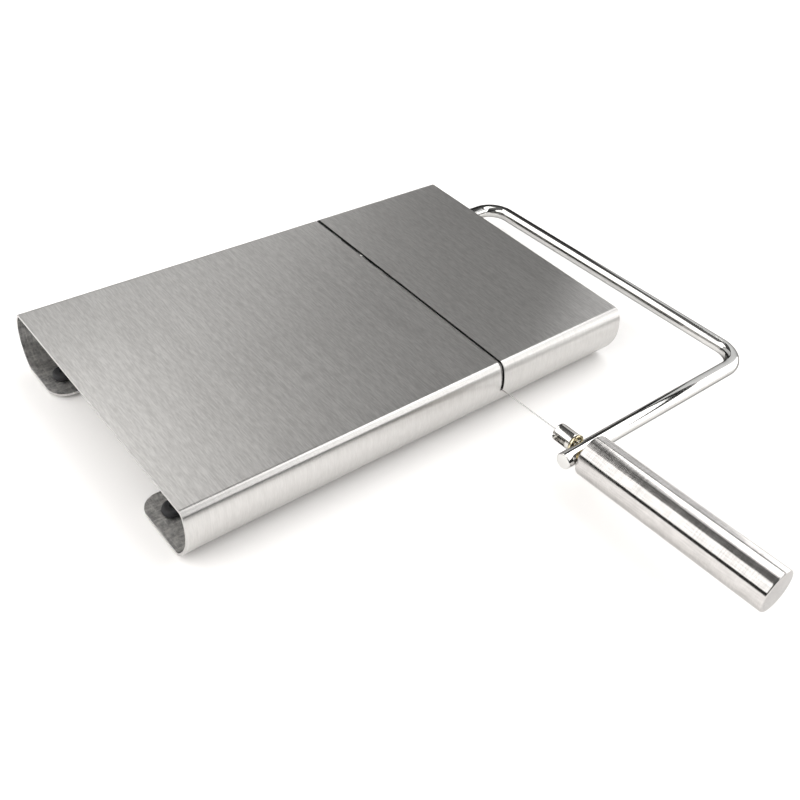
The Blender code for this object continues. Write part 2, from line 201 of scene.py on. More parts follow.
def noise(look, scale, detail, roughness, uv=False):
    """Noise over object or UV coordinates, stretched by scale."""
    coordinates = add_node(look, "ShaderNodeTexCoord")
    mapping = add_node(look, "ShaderNodeMapping")
    mapping.inputs["Scale"].default_value = scale
    link(look, coordinates.outputs["UV" if uv else "Object"], mapping.inputs["Vector"])
    made = add_node(look, "ShaderNodeTexNoise")
    made.inputs["Scale"].default_value = 1.0
    made.inputs["Detail"].default_value = detail
    made.inputs["Roughness"].default_value = roughness
    link(look, mapping.outputs["Vector"], made.inputs["Vector"])
    return made.outputs["Fac"]


def spread(look, value, low, high, to_low, to_high):
    """Map a value's range onto another."""
    made = add_node(look, "ShaderNodeMapRange")
    made.inputs["From Min"].default_value = low
    made.inputs["From Max"].default_value = high
    made.inputs["To Min"].default_value = to_low
    made.inputs["To Max"].default_value = to_high
    link(look, value, made.inputs["Value"])
    return made.outputs["Result"]


def combine(look, operation, first, second):
    """Math node on two values, each a socket or a number."""
    made = add_node(look, "ShaderNodeMath", operation=operation)
    for socket, value in zip(made.inputs, (first, second)):
        if isinstance(value, (int, float)):
            socket.default_value = value
        else:
            link(look, value, socket)
    return made.outputs["Value"]


def weigh(look, *parts):
    """Sum of (socket, share) parts."""
    total = None
    for socket, share in parts:
        part = combine(look, "MULTIPLY", socket, share)
        total = part if total is None else combine(look, "ADD", total, part)
    return total


def tint(look, value, low, high, dark, light):
    """Blend the base colour from dark to light over a value's range."""
    made = add_node(look, "ShaderNodeMix", data_type="RGBA")
    colors = [s for s in made.inputs if s.type == "RGBA"]
    colors[0].default_value = (*dark, 1)
    colors[1].default_value = (*light, 1)
    link(look, spread(look, value, low, high, 0, 1), made.inputs["Factor"])
    blended = next(s for s in made.outputs if s.type == "RGBA")
    link(look, blended, shader_of(look).inputs["Base Color"])


def roughen(look, value, low, high, smooth, rough):
    """Vary the roughness from smooth to rough over a value's range."""
    link(look, spread(look, value, low, high, smooth, rough), shader_of(look).inputs["Roughness"])


def shades(color, down, up):
    """A darker and a lighter shade of a colour."""
    return tuple(c * down for c in color), tuple(min(1.0, c * up) for c in color)


def raise_surface(look, height, strength, distance):
    made = add_node(look, "ShaderNodeBump")
    made.inputs["Strength"].default_value = strength
    made.inputs["Distance"].default_value = distance
    link(look, height, made.inputs["Height"])
    link(look, made.outputs["Normal"], shader_of(look).inputs["Normal"])


def stretch_gloss(look, anisotropy):
    """Spread highlights along the U direction of the piece's UV map."""
    tangent = add_node(look, "ShaderNodeTangent", direction_type="UV_MAP", uv_map="grain")
    shader = shader_of(look)
    shader.inputs["Anisotropic"].default_value = anisotropy
    link(look, tangent.outputs["Tangent"], shader.inputs["Tangent"])


def brushed_look(name, dark, light):
    """Stainless sheet brushed across the board: streaks run along V, gloss spreads along U."""
    look = new_look(name, (0.66, 0.65, 0.635), 0.30, metallic=0.94)
    fine = noise(look, (5200, 330, 1), 2.0, 0.6, uv=True)
    dashes = noise(look, (1900, 240, 1), 2.0, 0.6, uv=True)
    broad = noise(look, (620, 26, 1), 3.0, 0.55, uv=True)
    grain = weigh(look, (fine, 0.3), (dashes, 0.45), (broad, 0.25))
    dark_lines = weigh(look, (dashes, 0.65), (broad, 0.35))
    tint(look, dark_lines, 0.4, 0.62, dark, light)
    roughen(look, grain, 0.36, 0.64, 0.29, 0.33)
    raise_surface(look, grain, 0.05, 0.00002)
    stretch_gloss(look, 0.88)
    return look


def mill_sheet_look():
    """Unbrushed inside of the sheet: duller, with faint crossing scratches."""
    dark, light = (0.36, 0.36, 0.365), (0.82, 0.81, 0.79)
    look = new_look("mill_sheet_look", (0.5, 0.495, 0.49), 0.42)
    cloudy = noise(look, (480, 480, 480), 5.0, 0.7)
    first = noise(look, (1500, 90, 90), 2.0, 0.5)
    second = noise(look, (110, 1300, 200), 2.0, 0.5)
    marks = combine(look, "MAXIMUM", first, second)
    blend = weigh(look, (cloudy, 0.6), (marks, 0.4))
    tint(look, blend, 0.4, 0.62, dark, light)
    roughen(look, blend, 0.35, 0.68, 0.34, 0.52)
    raise_surface(look, blend, 0.2, 0.00004)
    return look


def polished_look(name, color, roughness, streaks=(60, 2600, 1)):
    """Polished metal with hair-fine lines along the piece and a few dull clouds."""
    look = new_look(name, color, roughness, edge=0.1)
    lines = noise(look, streaks, 2.0, 0.5, uv=True)
    clouds = noise(look, (220, 220, 220), 3.0, 0.5)
    wear = weigh(look, (lines, 0.5), (clouds, 0.5))
    tint(look, wear, 0.35, 0.65, *shades(color, 0.93, 1.04))
    roughen(look, wear, 0.35, 0.65, roughness * 0.75, roughness * 1.5)
    raise_surface(look, wear, 0.06, 0.00002)
    return look


def satin_handle_look():
    """Turned stainless: fine rings round the axis, which spread highlights along U."""
    dark, light = (0.50, 0.485, 0.475), (0.72, 0.70, 0.685)
    look = new_look("satin_handle_look", light, 0.27, edge=0.7)
    rings = noise(look, (3200, 60, 1), 2.0, 0.6, uv=True)
    drawn = noise(look, (160, 1700, 1), 2.0, 0.6, uv=True)
    clouds = noise(look, (130, 130, 130), 3.0, 0.55)
    grain = weigh(look, (rings, 0.4), (drawn, 0.35), (clouds, 0.25))
    tint(look, grain, 0.38, 0.62, dark, light)
    roughen(look, grain, 0.36, 0.64, 0.13, 0.19)
    raise_surface(look, grain, 0.16, 0.000015)
    stretch_gloss(look, 0.85)
    return look


def plain_steel_look(name, color, roughness):
    """Pressed or welded steel with a mottled, slightly scratched surface."""
    look = new_look(name, color, roughness)
    mottle = noise(look, (420, 420, 420), 4.0, 0.6)
    marks = noise(look, (1900, 260, 260), 2.0, 0.5)
    blend = weigh(look, (mottle, 0.55), (marks, 0.45))
    tint(look, blend, 0.35, 0.65, *shades(color, 0.82, 1.1))
    roughen(look, blend, 0.35, 0.65, roughness * 0.8, roughness * 1.25)
    raise_surface(look, blend, 0.2, 0.00003)
    return look


def moulded_look(name, dark, light, roughness, bump):
    """Moulded rubber or plastic: faint clouding and a fine matt texture."""
    look = new_look(name, light, roughness, metallic=0.0)
    clouds = noise(look, (500, 500, 500), 4.0, 0.6)
    pores = noise(look, (5200, 5200, 5200), 2.0, 0.6)
    blend = weigh(look, (clouds, 0.6), (pores, 0.4))
    tint(look, blend, 0.35, 0.65, dark, light)
    roughen(look, blend, 0.35, 0.65, roughness * 0.85, roughness * 1.15)
    raise_surface(look, blend, bump, 0.00005)
    return look


# ---------------------------------------------------------------- mesh tools

SHARP_ANGLE = math.radians(38)
TINY = 1e-7
SHORTEST_STEP = 1e-6


def finish_mesh(name, maker, looks, place, body=None, nodes=()):
    """Turn a bmesh into an object; with a body it is a piece that stands for CAD nodes."""
    bmesh.ops.recalc_face_normals(maker, faces=maker.faces)
    mesh = bpy.data.meshes.new(name)
    maker.to_mesh(mesh)
    maker.free()
    mesh.shade_smooth()
    mesh.set_sharp_from_angle(angle=SHARP_ANGLE)
    made = bpy.data.objects.new(name, mesh)
    bpy.context.scene.collection.objects.link(made)
    for look in looks:
        mesh.materials.append(look)
    made.matrix_world = place
    if body:
        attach(made, body)
        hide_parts(*nodes)
    return made


def arc(centre, radius, start, stop, steps):
    angles = [start + (stop - start) * i / steps for i in range(steps + 1)]
    return [(centre[0] + radius * math.cos(a), centre[1] + radius * math.sin(a)) for a in angles]


def round_corner(before, corner, after, radius, steps):
    """Points of the arc that rounds a corner between two straight runs."""
    incoming = (before - corner).normalized()
    outgoing = (after - corner).normalized()
    half = incoming.angle(outgoing) / 2
    centre = corner + (incoming + outgoing).normalized() * (radius / math.sin(half))
    start = corner + incoming * (radius / math.tan(half)) - centre
    swing = math.copysign(math.pi - 2 * half, incoming.angle_signed(outgoing))
    first = math.atan2(start.y, start.x)
    return arc(centre, radius, first, first + swing, steps)


def fillet(corners, closed=False, steps=6):
    """Round a polyline: corners are (u, v, radius); a radius of 0 keeps the corner."""
    points = []
    count = len(corners)
    for i, (u, v, radius) in enumerate(corners):
        inside = closed or 0 < i < count - 1
        if not radius or not inside:
            points.append((u, v))
            continue
        before = Vector(corners[i - 1][:2])
        after = Vector(corners[(i + 1) % count][:2])
        points += round_corner(before, Vector((u, v)), after, radius, steps)
    return points


def prism(outline, low, high, turn):
    """A bmesh of a closed (u, v) outline extruded along its third axis."""
    maker = bmesh.new()
    first = [maker.verts.new(turn @ Vector((u, v, low))) for u, v in outline]
    second = [maker.verts.new(turn @ Vector((u, v, high))) for u, v in outline]
    for k in range(len(outline)):
        n = (k + 1) % len(outline)
        maker.faces.new((first[k], first[n], second[n], second[k]))
    maker.faces.new(first[::-1])
    maker.faces.new(second)
    return maker


def block(low, high):
    outline = [(low[0], low[1]), (high[0], low[1]), (high[0], high[1]), (low[0], high[1])]
    return prism(outline, low[2], high[2], Matrix())


def plug(radius, low, high):
    """Lathe profile of a solid cylinder."""
    return [(0, low), (radius, low), (radius, high), (0, high)]


def lathe(profile, steps, turn, closed=False, shape=None):
    """A bmesh spun about Z from (radius, height) points, with U along the profile.

    shape, when given, returns a factor on the radius for an angle and a height.
    """
    maker = bmesh.new()
    grain = maker.loops.layers.uv.new("grain")
    rings = [lathe_ring(maker, point, steps, turn, shape) for point in profile]
    lengths = [0.0]
    for (r0, h0), (r1, h1) in zip(profile, profile[1:] + profile[:1]):
        lengths.append(lengths[-1] + math.hypot(r1 - r0, h1 - h0))
    girth = math.tau * max(radius for radius, _ in profile)
    for i in range(len(profile) if closed else len(profile) - 1):
        lower, upper = rings[i], rings[(i + 1) % len(rings)]
        if len(lower) > 1 or len(upper) > 1:
            join_rings(maker, grain, (lower, lengths[i]), (upper, lengths[i + 1]), girth, steps)
    return maker


def lathe_ring(maker, point, steps, turn, shape):
    """Vertices round the axis at a profile point, or a single one on the axis."""
    radius, height = point
    if radius < TINY:
        return [maker.verts.new(turn @ Vector((0, 0, height)))]
    ring = []
    for k in range(steps):
        angle = math.tau * k / steps
        r = radius * (shape(angle, height) if shape else 1)
        ring.append(maker.verts.new(turn @ Vector((r * math.cos(angle), r * math.sin(angle), height))))
    return ring


def join_rings(maker, grain, lower, upper, girth, steps):
    """Faces between two (vertices, U) rings; a ring of one vertex gives triangles."""
    for k in range(steps):
        verts, uvs = [], []
        for (ring, u), step in ((lower, k), (lower, k + 1), (upper, k + 1), (upper, k)):
            vert = ring[step % len(ring)]
            if vert not in verts:
                verts.append(vert)
                uvs.append((u, girth * step / steps))
        face = maker.faces.new(verts)
        for loop, uv in zip(face.loops, uvs):
            loop[grain].uv = uv


def subtract(target, *cutters):
    """Take hidden cutter meshes out of a piece and keep the result in its mesh."""
    made = []
    for index, maker in enumerate(cutters):
        bmesh.ops.recalc_face_normals(maker, faces=maker.faces)
        mesh = bpy.data.meshes.new("cutter")
        maker.to_mesh(mesh)
        maker.free()
        cutter = bpy.data.objects.new("cutter", mesh)
        bpy.context.scene.collection.objects.link(cutter)
        cutter.matrix_world = target.matrix_world.copy()
        modifier = target.modifiers.new(f"cut_{index}", "BOOLEAN")
        modifier.operation = "DIFFERENCE"
        modifier.solver = "EXACT"
        modifier.object = cutter
        made.append(cutter)
    apply_modifiers(target)
    for cutter in made:
        bpy.data.objects.remove(cutter)


def apply_modifiers(target):
    bpy.context.view_layer.update()
    graph = bpy.context.evaluated_depsgraph_get()
    mesh = bpy.data.meshes.new_from_object(target.evaluated_get(graph), depsgraph=graph)
    old = target.data
    target.modifiers.clear()
    target.data = mesh
    bpy.data.meshes.remove(old)


def soften(target, width):
    """Small rounds on sharp edges, with the flat faces kept flat."""
    bevel = target.modifiers.new("edges", "BEVEL")
    bevel.width = width
    bevel.segments = 2
    bevel.limit_method = "ANGLE"
    bevel.angle_limit = math.radians(40)
    keep_flats(target)


def keep_flats(target):
    """Weighted normals, so that small rounds don't shade the flat faces beside them."""
    flat = target.modifiers.new("flat_faces", "WEIGHTED_NORMAL")
    flat.weight = 60


def along_x(y=0.0, z=0.0):
    """Turn local Z to +X, and local X to +Y, about the line through (y, z)."""
    return Matrix(((0, 0, 1, 0), (1, 0, 0, y), (0, 1, 0, z), (0, 0, 0, 1)))


def along_y(x=0.0):
    """Turn local Z to +Y, and local Y to +Z, about the line at x."""
    return Matrix(((1, 0, 0, x), (0, 0, 1, 0), (0, 1, 0, 0), (0, 0, 0, 1)))


# ---------------------------------------------------------------- board

def wall_outline(inset):
    """(y, z) points of the back wall from the top's edge to the lip, set in from the outside."""
    wall_y = HALF_DEPTH - WALL_RADIUS
    swing = WALL_RADIUS - BEND_RADIUS
    top_z = BOARD_TOP - BEND_RADIUS
    lip_z = LIP_UNDERSIDE + BEND_RADIUS
    top_angle = math.asin((top_z - WALL_MIDDLE) / swing)
    lip_angle = -math.asin((WALL_MIDDLE - lip_z) / swing)
    top_centre = (wall_y + swing * math.cos(top_angle), top_z)
    lip_centre = (wall_y + swing * math.cos(lip_angle), lip_z)
    top = arc(top_centre, BEND_RADIUS - inset, math.pi / 2, top_angle, 14)
    wall = arc((wall_y, WALL_MIDDLE), WALL_RADIUS - inset, top_angle, lip_angle, 28)
    lip = arc(lip_centre, BEND_RADIUS - inset, lip_angle, -math.pi / 2, 10)
    return top + wall[1:] + lip[1:]


def board_outlines():
    """Outer and inner face of the folded sheet, each from the front lip to the back lip."""
    faces = []
    for inset in (0.0, SHEET):
        back = wall_outline(inset)
        front = [(-y, z) for y, z in back][::-1]
        lip_z = LIP_UNDERSIDE + inset
        faces.append([(-FRONT_LIP_EDGE, lip_z)] + front + back + [(BACK_LIP_EDGE, lip_z)])
    return faces


def lip_corner_cutter(side, edge, facing):
    """Waste outside a lip's rounded corner."""
    end = BOARD_LENGTH / 2
    radius = LIP_CORNER_RADIUS
    margin = CUT_MARGIN
    rounded = arc((end - radius, edge + radius), radius, 0, -math.pi / 2, 16)
    waste = [(end + margin, edge - margin), (end + margin, edge + radius)] + rounded
    waste.append((end - radius, edge - margin))
    outline = [(side * x, facing * y) for x, y in waste]
    return prism(outline, LIP_UNDERSIDE - SHEET, LIP_UNDERSIDE + 2 * SHEET, Matrix())


def map_grain(piece):
    """UVs in metres, U along the board and V along the folded section, and material slots."""
    mesh = piece.data
    path, inside = ([Vector(p) for p in outline] for outline in board_outlines())
    layer = mesh.uv_layers.get("grain") or mesh.uv_layers.new(name="grain")
    lengths = [0.0]
    for first, second in zip(path, path[1:]):
        lengths.append(lengths[-1] + (second - first).length)
    for face in mesh.polygons:
        for index in face.loop_indices:
            co = mesh.vertices[mesh.loops[index].vertex_index].co
            layer.data[index].uv = (co.x, along_section(path, lengths, Vector((co.y, co.z))))
        face.material_index = sheet_slot(face, path, inside)


def sheet_slot(face, path, inside):
    """Material slot of a face of the sheet, from where it lies and which way it looks."""
    centre = Vector((face.center.y, face.center.z))
    sideways = abs(face.normal.x) > 0.5
    # The slot's cut walls take the near-black look, painted shade standing in for the shadowed slot.
    if sideways and abs(abs(face.center.x - WIRE_X) - SLOT_WIDTH / 2) < NEAR:
        return SHADED_CUT_SLOT
    if not sideways and distance_to(inside, centre) < distance_to(path, centre):
        return INNER_SLOT
    return TOP_SLOT if face.normal.z >= 0.97 else WALL_SLOT


def nearest_on(path, point):
    """Distance of the nearest point on a polyline, its segment and its share of that segment."""
    best = (math.inf, 0, 0.0)
    for i, (first, second) in enumerate(zip(path, path[1:])):
        run = second - first
        share = max(0.0, min(1.0, (point - first).dot(run) / max(run.length_squared, TINY ** 2)))
        gap = (point - first - run * share).length
        if gap < best[0]:
            best = (gap, i, share)
    return best


def along_section(path, lengths, point):
    """Length along a polyline at its nearest point."""
    _, i, share = nearest_on(path, point)
    return lengths[i] + (lengths[i + 1] - lengths[i]) * share


def distance_to(path, point):
    return nearest_on(path, point)[0]


def build_board(looks):
    half = BOARD_LENGTH / 2
    outer, inner = board_outlines()
    maker = prism(outer + inner[::-1], -half, half, along_x())
    board = finish_mesh("board_sheet", maker, looks, BOARD_PLACE, "base", ["board"])
    slot_half = SLOT_WIDTH / 2
    slot = [(slot_half, SLOT_CUT_TOP), (-slot_half, SLOT_CUT_TOP)]
    slot += arc((0, SLOT_BOTTOM + slot_half), slot_half, math.pi, math.tau, 16)
    past_wall = HALF_DEPTH + 0.005
    cutters = [prism(slot, -past_wall, past_wall, along_y(WIRE_X))]
    for side in (-1, 1):
        cutters.append(lip_corner_cutter(side, FRONT_LIP_EDGE, -1))
        cutters.append(lip_corner_cutter(side, BACK_LIP_EDGE, 1))
    for name in foot_names():
        place = Matrix.Translation(middle(name) - BOARD_CENTRE)
        cutters.append(lathe(plug(FOOT_WAIST_RADIUS + GAP, -HOLE_REACH, HOLE_REACH), 40, place))
    subtract(board, *cutters)
    soften(board, EDGE_SOFTNESS)
    apply_modifiers(board)
    map_grain(board)


# ---------------------------------------------------------------- feet and hinge

def foot_names():
    return [f"foot_{row}_{end}" for row in ("front", "back") for end in ("left", "right")]


def foot_profile(pad):
    """Dished pad under the lip, waist through its hole and rounded head with a dimple."""
    low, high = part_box(foot_names()[0])
    soft = 0.0002
    pad_top = LIP_UNDERSIDE - GAP
    waist = FOOT_WAIST_RADIUS
    head_base = LIP_UNDERSIDE + SHEET + GAP
    head, top = FOOT_HEAD_RADIUS, high.z - low.z
    return fillet([
        (0, PAD_DISH_DEPTH, 0), (pad - PAD_DISH_RIM - soft, PAD_DISH_DEPTH, soft),
        (pad - PAD_DISH_RIM, 0, soft), (pad, 0, 2 * soft),
        (pad, pad_top, soft), (waist, pad_top, soft), (waist, head_base, soft),
        (head, head_base, 0.0003), (head - 0.0005, top, 0.0012),
        (DIMPLE_RADIUS + soft, top, 0.0003), (DIMPLE_RADIUS, top - 0.0007, soft),
        (0, top - DIMPLE_DEPTH, 0),
    ])


def build_feet(look):
    profile = foot_profile(radius_of(foot_names()[0]))
    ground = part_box(foot_names()[0])[0].z
    for name in foot_names():
        foot_middle = middle(name)
        place = Matrix.Translation((foot_middle.x, foot_middle.y, ground))
        finish_mesh(name + "_rubber", lathe(profile, 56, Matrix()), [look], place, "base",
                    [name])


def build_bracket(suffix, side, look):
    """Pressed ear with a foot welded under the board, and the hole for its bush."""
    node = "hinge_bracket_" + suffix
    low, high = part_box(node)
    low, high = low - BOARD_CENTRE, high - BOARD_CENTRE
    ear_x, far_x = (high.x, low.x) if side > 0 else (low.x, high.x)
    ear_in = ear_x - side * EAR_THICKNESS
    top = high.z
    under = top - EAR_THICKNESS
    outline = fillet([
        (ear_x, 0, 0), (ear_x, top, 0.0026), (far_x, top, 0.0004), (far_x, under, 0.0004),
        (ear_in, under, 0.0008), (ear_in, 0, 0),
    ], closed=True, steps=8)
    maker = prism(outline, low.y, high.y, along_y())
    bracket = finish_mesh(node + "_pressed", maker, [look], BOARD_PLACE, "base",
                          [node])
    start, stop = sorted((ear_x + side * EAR_MARGIN, ear_in - side * EAR_MARGIN))
    hole = plug(BUSH_BARREL_RADIUS + GAP, -HOLE_REACH, HOLE_REACH)
    at_ear = along_x(HINGE_Y, HINGE_Z) @ Matrix.Translation((0, 0, ear_x))
    subtract(bracket, prism(ear_waste(low, high, under), start, stop, along_x()),
             lathe(hole, 64, at_ear))
    soften(bracket, EAR_SOFTNESS)


def ear_waste(low, high, under):
    """(y, z) outline of what is cut off round the lower half of an ear."""
    radius = HINGE_Z - low.z
    below = under - WASTE_CLEARANCE
    back, front = high.y + EAR_MARGIN, low.y - EAR_MARGIN
    waste = [(front, -EAR_MARGIN), (back, -EAR_MARGIN), (back, below), (HINGE_Y + radius, below)]
    waste += arc((HINGE_Y, HINGE_Z), radius, 0, -math.pi, 32)
    return waste + [(HINGE_Y - radius, below), (front, below)]


def ring_corners(bore, radius, start, stop, soft):
    return [(bore, start, soft), (radius, start, soft), (radius, stop, soft), (bore, stop, soft)]


def build_bush(suffix, side, look):
    node = "hinge_bush_" + suffix
    low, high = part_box(node)
    flange_out = span_x(node)[1 if side > 0 else 0]
    flange = (high.z - low.z) / 2
    barrel_end = BUSH_FLANGE - (high.x - low.x)
    bore = ROD_RADIUS + GAP
    corners = [
        (bore, barrel_end, 0.0002), (BUSH_BARREL_RADIUS, barrel_end, 0.0003),
        (BUSH_BARREL_RADIUS, 0, 0.0001), (flange, 0, 0.0002), (flange, BUSH_FLANGE, 0.0003),
        (bore, BUSH_FLANGE, 0.0002),
    ]
    place = Matrix.Translation((flange_out - side * BUSH_FLANGE, 0, 0)) @ along_x(HINGE_Y, HINGE_Z)
    if side < 0:
        place = place @ Matrix.Rotation(math.pi, 4, "X")
    maker = lathe(fillet(corners, closed=True), 72, place, closed=True)
    finish_mesh(node + "_moulded", maker, [look], BOARD_PLACE, "base", [node])


def build_thrust_washer(suffix, look):
    node = "thrust_washer_" + suffix
    low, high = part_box(node)
    corners = ring_corners(ROD_RADIUS + GAP, (high.z - low.z) / 2, *span_x(node), 0.00012)
    maker = lathe(fillet(corners, closed=True, steps=3), 72, along_x(), closed=True)
    finish_mesh(node + "_steel", maker, [look], BOW_PLACE, "bow", [node])


def build_snap_ring(suffix, look):
    """An open ring with two rounded tips at its mouth."""
    node = "snap_ring_" + suffix
    outer = max((TO_BOW @ v.co).yz.length for v in frame["nodes"][node].data.vertices)
    bore = GROOVE_RADIUS + GAP
    first = math.pi / 2 + RING_MOUTH / 2
    last = first + math.tau - RING_MOUTH
    outline = arc((0, 0), outer, first + TIP_START, last - TIP_START, 64)
    outline += ring_tip(outer, bore, last - TIP_CENTRE, last - TIP_CENTRE)
    outline += arc((0, 0), bore, last - TIP_START, first + TIP_START, 64)
    outline += ring_tip(outer, bore, first + TIP_CENTRE, first + TIP_CENTRE + math.pi)
    maker = prism(outline, *span_x(node), along_x())
    ring = finish_mesh(node + "_spring", maker, [look], BOW_PLACE, "bow", [node])
    soften(ring, FINE_SOFTNESS)


def ring_tip(outer, bore, at, start):
    """Half circle that closes the ring's section at an angle, from a start direction."""
    mid = (outer + bore) / 2
    centre = (mid * math.cos(at), mid * math.sin(at))
    return arc(centre, (outer - bore) / 2 * TIP_SHARE, start, start + math.pi, 10)[1:-1]


# ---------------------------------------------------------------- bow

def rod_ends():
    """X of the rod's rear and front ends in the bow frame, and its front leg's reach."""
    verts = [TO_BOW @ v.co for v in frame["nodes"]["bow_rod"].data.vertices]
    within = ROD_RADIUS + NEAR
    rear = [v for v in verts if abs(v.y) < within]
    reach = max(-v.y for v in verts) - ROD_RADIUS
    front = [v for v in verts if abs(-v.y - reach) < within]
    return min(v.x for v in rear), min(v.x for v in front), reach


def rod_stations():
    """(point, radius) stations along the rod, with rounded ends and two ring grooves."""
    rear_x, front_x, reach = rod_ends()
    rear_end = Vector((rear_x, 0))
    front_end = Vector((front_x, -reach))
    rear_corner = Vector((ROD_REAR_CORNER_X, 0))
    front_corner = Vector((ROD_FRONT_CORNER_X, -reach))
    rear = round_corner(rear_end, rear_corner, front_corner, REAR_BEND_RADIUS, 24)
    front = round_corner(rear_corner, front_corner, front_end, FRONT_BEND_RADIUS, 24)
    straight = [Vector(rear[-1]).lerp(Vector(front[0]), share) for share in (0.25, 0.5, 0.75)]
    stations = end_stations(rear_end)
    for node in ("snap_ring_inner", "snap_ring_outer"):
        stations += groove_stations(*span_x(node))
    stations += [(Vector(p), ROD_RADIUS) for p in rear + straight + front]
    return stations + end_stations(front_end)[::-1]


def groove_stations(low, high):
    """Stations of a ring groove in the rear leg, with softened rims."""
    start, stop = low - GAP, high + GAP
    rim = ROD_RADIUS - GROOVE_RIM
    steps = [(start - GROOVE_RIM, ROD_RADIUS), (start, rim), (start, GROOVE_RADIUS),
             (stop, GROOVE_RADIUS), (stop, rim), (stop + GROOVE_RIM, ROD_RADIUS)]
    return [(Vector((x, 0)), radius) for x, radius in steps]


def end_stations(end):
    """Rounded edge of one of the rod's end faces, from the face toward +X."""
    stations = []
    for i in range(6):
        angle = math.pi / 2 * i / 5
        step = ROD_CHAMFER * (1 - math.cos(angle))
        radius = ROD_RADIUS - ROD_CHAMFER * (1 - math.sin(angle))
        stations.append((end + Vector((1, 0)) * step, radius))
    return stations


def sweep(stations, sides):
    """A bmesh of a round rod through flat (point, radius) stations, with U along it."""
    maker = bmesh.new()
    grain = maker.loops.layers.uv.new("grain")
    rings = [sweep_ring(maker, stations, i, sides) for i in range(len(stations))]
    lengths = [0.0]
    for (first, _), (second, _) in zip(stations, stations[1:]):
        lengths.append(lengths[-1] + max(SHORTEST_STEP, (second - first).length))
    rows = list(zip(rings, lengths))
    for first, second in zip(rows, rows[1:]):
        join_rings(maker, grain, first, second, ROD_GIRTH, sides)
    maker.faces.new(rings[0][::-1])
    maker.faces.new(rings[-1])
    return maker


def sweep_ring(maker, stations, i, sides):
    """Vertices of the rod's section at a station, square to the rod there."""
    point, radius = stations[i]
    before = direction(stations, i, -1)
    after = direction(stations, i, 1)
    along = ((before or after) + (after or before)).normalized()
    across = Vector((-along.y, along.x, 0))
    ring = []
    for k in range(sides):
        angle = math.tau * k / sides
        offset = across * math.cos(angle) + Vector((0, 0, math.sin(angle)))
        ring.append(maker.verts.new(Vector((*point, 0)) + radius * offset))
    return ring


def direction(stations, i, step):
    """Direction along the rod from a station to the next different point, or None at an end."""
    j = i + step
    while 0 <= j < len(stations):
        run = (stations[j][0] - stations[i][0]) * step
        if run.length > TINY:
            return run.normalized()
        j += step
    return None


def build_rod(look):
    maker = sweep(rod_stations(), 64)
    rod = finish_mesh("bow_rod_polished", maker, [look], BOW_PLACE, "bow", ["bow_rod"])
    holes = []
    for hole_radius, at in ((WIRE_HOLE, 0.0), (BOLT_RADIUS + GAP, rod_ends()[2])):
        profile = plug(hole_radius, at - 2 * ROD_RADIUS, at + 2 * ROD_RADIUS)
        holes.append(lathe(profile, 48, ALONG_WIRE))
    subtract(rod, *holes)
    rod.data.set_sharp_from_angle(angle=SHARP_ANGLE)


def build_wire(look):
    start, stop = reach_of("cutting_wire")
    radius = radius_of("cutting_wire")
    runs = 40
    profile = [(0, start)]
    profile += [(radius, start + (stop - start) * i / runs) for i in range(runs + 1)]
    profile.append((0, stop))
    finish_mesh("cutting_wire_steel", lathe(profile, 20, ALONG_WIRE), [look],
                BOW_PLACE, "bow", ["cutting_wire"])


def build_ferrule(suffix, look):
    node = "wire_ferrule_" + suffix
    low, high = reach_of(node)
    bore = radius_of("cutting_wire") + GAP
    corners = ring_corners(bore, radius_of(node), low, high, 0.00015)
    profile = refined(fillet(corners, closed=True, steps=4), 0.00015)
    maker = lathe(profile, 48, ALONG_WIRE, closed=True, shape=crimped(low, high))
    finish_mesh(node + "_crimped", maker, [look], BOW_PLACE, "bow", [node])


def refined(profile, step):
    """Split a closed profile's long edges."""
    points = []
    for (r0, h0), (r1, h1) in zip(profile, profile[1:] + profile[:1]):
        count = max(1, round(math.hypot(r1 - r0, h1 - h0) / step))
        points += [(r0 + (r1 - r0) * i / count, h0 + (h1 - h0) * i / count) for i in range(count)]
    return points


def crimped(low, high):
    """Radius factor that pinches a sleeve's middle, most on four sides."""
    def factor(angle, height):
        share = (height - low) / (high - low)
        pinch = math.exp(-((share - 0.5) / CRIMP_WIDTH) ** 2)
        return 1 - pinch * (CRIMP_ROUND + CRIMP_FLAT * math.cos(2 * angle) ** 2)
    return factor


# ---------------------------------------------------------------- bolt and handle

def thread(angle, height):
    """Radius factor of the bolt's thread: 1 on the crest, less in the groove."""
    turn = (height / THREAD_PITCH + angle / math.tau) % 1
    groove = max(0.0, 1 - abs(turn - 0.5) * THREAD_STEEPNESS)
    return 1 - groove * THREAD_DEPTH / BOLT_RADIUS


def bolt_head_profile(start):
    """Head with a rounded face, and a short plain neck of the shank behind it."""
    head, stop = BOLT_HEAD_RADIUS, start + BOLT_HEAD_LENGTH
    face = fillet([(0, start, 0), (head - 0.0001, start, 0.00045), (head, start + 0.0012, 0)])
    neck = fillet([(head, stop - 0.001, 0), (head, stop, 0.0003), (BOLT_RADIUS, stop, 0.0001),
                   (BOLT_RADIUS, stop + 0.0008, 0)])
    end = stop + NECK_LENGTH
    return face + neck + [(BOLT_RADIUS, end - 0.0002), (BOLT_RADIUS - 0.0003, end), (0, end)]


